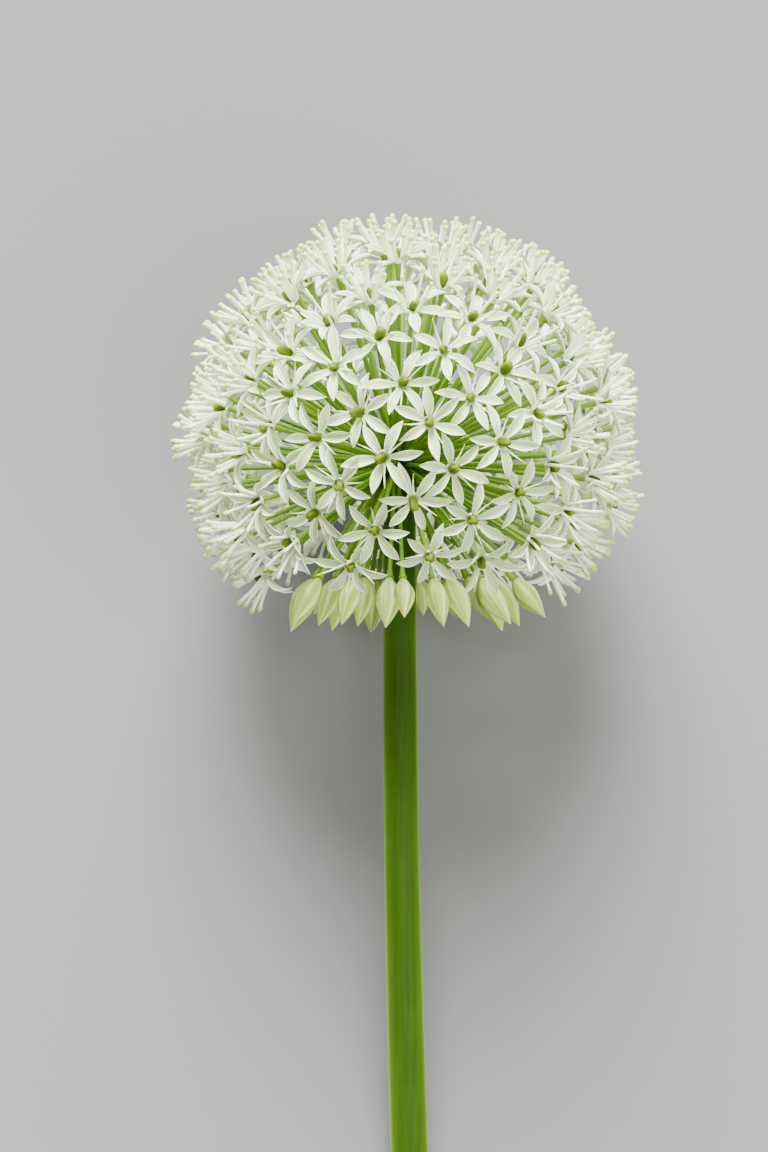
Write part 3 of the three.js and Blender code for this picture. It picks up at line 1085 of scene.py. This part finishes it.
def floret_parts(bloom, models):
    """Copies of all parts of one floret, in their places."""
    stars, bundles, ovary, pedicel = models
    number = bloom.number
    towards = bloom.side * math.cos(bloom.spin) + bloom.up * math.sin(bloom.spin)
    matrix = frame_matrix(bloom.point, bloom.out, towards)
    star = stars[star_kind(bloom)][int(noise(number, 33) * STARS_PER_KIND)]
    first = stamen_kind(bloom) * BUNDLES_PER_KIND
    bundle = bundles[first + int(noise(number, 34) * BUNDLES_PER_KIND)]
    size = 1 + swing(number, 35, FLORET_GROWTH)
    lean = turned(OVARY_LEAN + swing(number, 38, OVARY_SWAY), "X")
    ovary_size = 1 + swing(number, 37, OVARY_GROWTH)
    stalk_end = bloom.point - bloom.out * FLORET_SINK
    return [
        placed_copy(star, matrix @ Matrix.Scale(size, 4)),
        placed_copy(bundle, matrix),
        placed_copy(ovary, matrix @ spun(number, 36) @ lean @ Matrix.Scale(ovary_size, 4)),
        stalk_copy(pedicel, stalk_foot(bloom), stalk_end, number),
    ]


def press_on_floor(piece):
    """Presses what would hang under the floor flat onto it, with what is just above."""
    lowest = min(v.co.z for v in piece.data.vertices)
    if lowest >= PRESSED_TO:
        return
    factor = (PRESSED_FROM - PRESSED_TO) / (PRESSED_FROM - lowest)
    open_edit(piece)
    pick(piece, lambda v: v.co.z < PRESSED_FROM)
    bpy.ops.transform.resize(value=(1, 1, factor), center_override=(0, 0, PRESSED_FROM))
    close_edit()


def settle(piece, node):
    """Ties a finished piece to the flower and hides the node that it stands for."""
    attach(piece, "root")
    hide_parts(node)


class ALLIUM_OT_florets(bpy.types.Operator):
    """Model the open florets, three or four in each group"""

    bl_idname = "allium.florets"
    bl_label = "Florets"

    def execute(self, context):
        sizes = context.scene.allium_sizes
        colours = context.scene.allium_colours
        face = tuple(colours.petal)
        back = tuple(colours.petal_back)
        upper = tepal_material("petal", face, PETAL_FOOT, 0.2, PETAL_STREAK)
        lower = tepal_material("petal_back", PETAL_BACK_FACE, back, 0.5, PETAL_BACK_STREAK)
        stars = model_stars(sizes, upper, lower)
        bundles = model_stamens(sizes, stamen_material(colours))
        ovary = model_ovary(sizes, ovary_material(colours))
        pedicel = model_pedicel(sizes, colours)
        models = (stars, bundles, ovary, pedicel)
        for number, group in enumerate(cymes(open_blooms()), start=1):
            parts = []
            for bloom in group:
                parts += floret_parts(bloom, models)
            piece = join_pieces(f"cyme_{number:02d}", parts)
            press_on_floor(piece)
            settle(piece, f"florets_{number:02d}")
        drop([star for kind in stars.values() for star in kind])
        drop([*bundles, ovary, pedicel])
        return {"FINISHED"}


class ALLIUM_OT_buds(bpy.types.Operator):
    """Model the folded buds that hang round the stem"""

    bl_idname = "allium.buds"
    bl_label = "Buds"

    def execute(self, context):
        sizes = context.scene.allium_sizes
        colours = context.scene.allium_colours
        skin = bud_material(colours)
        buds = [
            model_bud(f"bud_{k}", sizes, skin, math.radians(twist))
            for k, twist in enumerate(BUD_TWISTS)
        ]
        pedicel = model_pedicel(sizes, colours)
        for number, group in enumerate(cymes(bud_blooms()), start=1):
            parts = []
            for bloom in group:
                start = stalk_foot(bloom)
                along = bloom.point - start
                matrix = frame_matrix(bloom.point, along, bloom.side)
                nod = turned(swing(bloom.number, 43, BUD_NOD), "X")
                spin = Matrix.Rotation(bloom.spin, 4, "Z")
                size = Matrix.Scale(1 + swing(bloom.number, 41, BUD_GROWTH), 4)
                bud = buds[bloom.number % len(buds)]
                parts.append(placed_copy(bud, matrix @ nod @ spin @ size))
                end = bloom.point + along.normalized() * BUD_OVERLAP
                parts.append(stalk_copy(pedicel, start, end, bloom.number))
            piece = join_pieces(f"bud_cyme_{number}", parts)
            press_on_floor(piece)
            settle(piece, f"buds_{number}")
        drop([*buds, pedicel])
        return {"FINISHED"}


class ALLIUM_OT_stem(bpy.types.Operator):
    """Model the thick stem, its swollen top and its cut end"""

    bl_idname = "allium.stem"
    bl_label = "Stem"

    def execute(self, context):
        colours = context.scene.allium_colours
        end = RECEPTACLE_DROP - STEM_REACH
        top = -STEM_NECK
        bpy.ops.object.select_all(action="DESELECT")
        bpy.ops.mesh.primitive_cylinder_add(
            vertices=STEM_SIDES,
            radius=STEM_TOP_RADIUS,
            depth=top - end,
            location=(0, 0, (top + end) / 2),
        )
        piece = new_piece("flower_stem")
        bpy.ops.object.transform_apply(location=True, rotation=False, scale=False)
        piece.data.materials.append(stem_material(colours))
        piece.data.materials.append(cut_material())
        open_edit(piece)
        pick(piece, lambda v: v.co.z < end + MM)
        resize_across(STEM_END_RADIUS / STEM_TOP_RADIUS, end)
        self.add_rings(piece)
        self.grow_receptacle(piece, top)
        self.cut_end(piece, end)
        self.add_ribs(piece, end)
        self.bend(piece)
        pick_all()
        bpy.ops.mesh.normals_make_consistent(inside=False)
        close_edit()
        piece.matrix_world = frame_matrix(FOOT, AXIS, RIGHT)
        bpy.ops.object.transform_apply(location=True, rotation=True, scale=True)
        smooth(piece, 45)
        settle(piece, "scape")
        return {"FINISHED"}

    def add_rings(self, piece):
        """Divides the long edges, so that the stem can bend."""
        bpy.ops.mesh.select_mode(type="EDGE")
        bpy.ops.mesh.select_all(action="DESELECT")
        mesh = bmesh.from_edit_mesh(piece.data)
        for edge in mesh.edges:
            edge.select_set(edge.calc_length() > STEM_EDGE)
        bmesh.update_edit_mesh(piece.data)
        bpy.ops.mesh.subdivide(number_cuts=STEM_RINGS)
        bpy.ops.mesh.select_mode(type="VERT")

    def grow_receptacle(self, piece, top):
        """Draws the top end out, ring by ring, to the swollen receptacle."""
        before = STEM_TOP_RADIUS
        level = top
        pick(piece, lambda v: v.co.z > top - NEAR)
        for place, radius in RECEPTACLE_OUTLINE:
            self.extrude(place * MM - level)
            level = place * MM
            resize_across(radius * MM / before, level)
            before = radius * MM

    def extrude(self, step):
        """Draws what is selected out along z."""
        bpy.ops.mesh.extrude_region_move(TRANSFORM_OT_translate={"value": (0, 0, step)})

    def cut_end(self, piece, end):
        """Sets the pith of the cut end a little back inside its skin."""
        pick(piece, lambda v: v.co.z < end + NEAR)
        for step, part in CUT_STEPS:
            self.extrude(step * MM)
            resize_across(part, end)
        piece.active_material_index = 1
        pick(piece, lambda v: v.co.z < end + PITH_DEPTH and v.co.xy.length < PITH_RADIUS)
        bpy.ops.object.material_slot_assign()

    def add_ribs(self, piece, end):
        """Draws every fifth line of the stem in, to shallow ribs."""
        rib = 360 / STEM_RIBS

        def in_groove(v):
            turn = bearing(v) % rib
            on_line = min(turn, rib - turn) < NEAR_ANGLE
            on_side = v.co.xy.length > STEM_TOP_RADIUS - NEAR
            return on_line and on_side and end + MM < v.co.z < -STEM_NECK

        pick(piece, in_groove)
        resize_across(RIB_GROOVE)

    def bend(self, piece):
        """Swings the lower rings aside, more and more towards the cut end."""
        mesh = bmesh.from_edit_mesh(piece.data)
        for level in sorted({round(v.co.z / MM, 2) for v in mesh.verts}):
            below = max(0, RECEPTACLE_DROP - level * MM - STEM_BEND_FROM)
            if below == 0:
                continue
            aside = STEM_BEND * (below / (STEM_REACH - STEM_BEND_FROM)) ** 2
            pick(piece, lambda v, level=level: round(v.co.z / MM, 2) == level)
            move(aside, 0, 0)


class ALLIUM_OT_stage(bpy.types.Operator):
    """Set up the plain floor, the soft light and the camera"""

    bl_idname = "allium.stage"
    bl_label = "Stage"

    def execute(self, context):
        colours = context.scene.allium_colours
        bpy.ops.object.select_all(action="DESELECT")
        bpy.ops.mesh.primitive_plane_add(size=FLOOR_SIZE, location=(0, 0, 0))
        floor = new_piece("floor")
        floor.data.materials.append(floor_material(colours))
        for lamp in LAMPS:
            self.light(*lamp)
        self.sky(context)
        self.camera(context)
        return {"FINISHED"}

    def light(self, name, way, colour, spread, strength):
        """A wide soft lamp far away in one direction, so that the floor is lit evenly."""
        way = Vector(way)
        bpy.ops.object.light_add(type="SUN", location=MIDDLE + way)
        lamp = bpy.context.object
        lamp.name = name
        lamp.data.color = colour
        lamp.data.angle = math.radians(spread)
        lamp.data.energy = strength
        lamp.rotation_euler = way.to_track_quat("Z", "Y").to_euler()

    def sky(self, context):
        """An even pale light from all round."""
        world = bpy.data.worlds.new("studio")
        world.use_nodes = True
        background = world.node_tree.nodes["Background"]
        background.inputs["Color"].default_value = (*SKY_COLOUR, 1)
        background.inputs["Strength"].default_value = SKY_STRENGTH
        context.scene.world = world

    def camera(self, context):
        """Looks straight down the open side of the flower, its stem to the foot."""
        place = MIDDLE - RIGHT * CAMERA_LEFT - AXIS * CAMERA_DOWN + FRONT * CAMERA_DISTANCE
        bpy.ops.object.camera_add()
        camera = bpy.context.object
        camera.name = "camera"
        camera.matrix_world = frame_matrix(place, FRONT, RIGHT)
        camera.data.sensor_width = CAMERA_SENSOR
        camera.data.lens = CAMERA_SENSOR * CAMERA_DISTANCE / PICTURE_HEIGHT
        camera.data.clip_start = 0.05
        camera.data.clip_end = 30
        context.scene.camera = camera


class ALLIUM_PT_panel(bpy.types.Panel):
    """Lists the flower's pieces, sizes and colours"""

    bl_idname = "ALLIUM_PT_panel"
    bl_label = "Allium flower head"
    bl_space_type = "VIEW_3D"
    bl_region_type = "UI"
    bl_category = "Allium"

    def draw(self, context):
        layout = self.layout
        for operator in OPERATORS:
            layout.operator(operator.bl_idname)
        for group in (context.scene.allium_sizes, context.scene.allium_colours):
            box = layout.box()
            for name in group.__annotations__:
                box.prop(group, name)


OPERATORS = (ALLIUM_OT_florets, ALLIUM_OT_buds, ALLIUM_OT_stem, ALLIUM_OT_stage)
CLASSES = (AlliumSizes, AlliumColours, *OPERATORS, ALLIUM_PT_panel)


def register():
    for cls in CLASSES:
        bpy.utils.register_class(cls)
    bpy.types.Scene.allium_sizes = PointerProperty(type=AlliumSizes)
    bpy.types.Scene.allium_colours = PointerProperty(type=AlliumColours)


def unregister():
    del bpy.types.Scene.allium_colours
    del bpy.types.Scene.allium_sizes
    for cls in reversed(CLASSES):
        bpy.utils.unregister_class(cls)


def main():
    """Models the whole flower and its stage."""
    register()
    bpy.ops.allium.florets()
    bpy.ops.allium.buds()
    bpy.ops.allium.stem()
    bpy.ops.allium.stage()


if __name__ == "__main__":
    main()
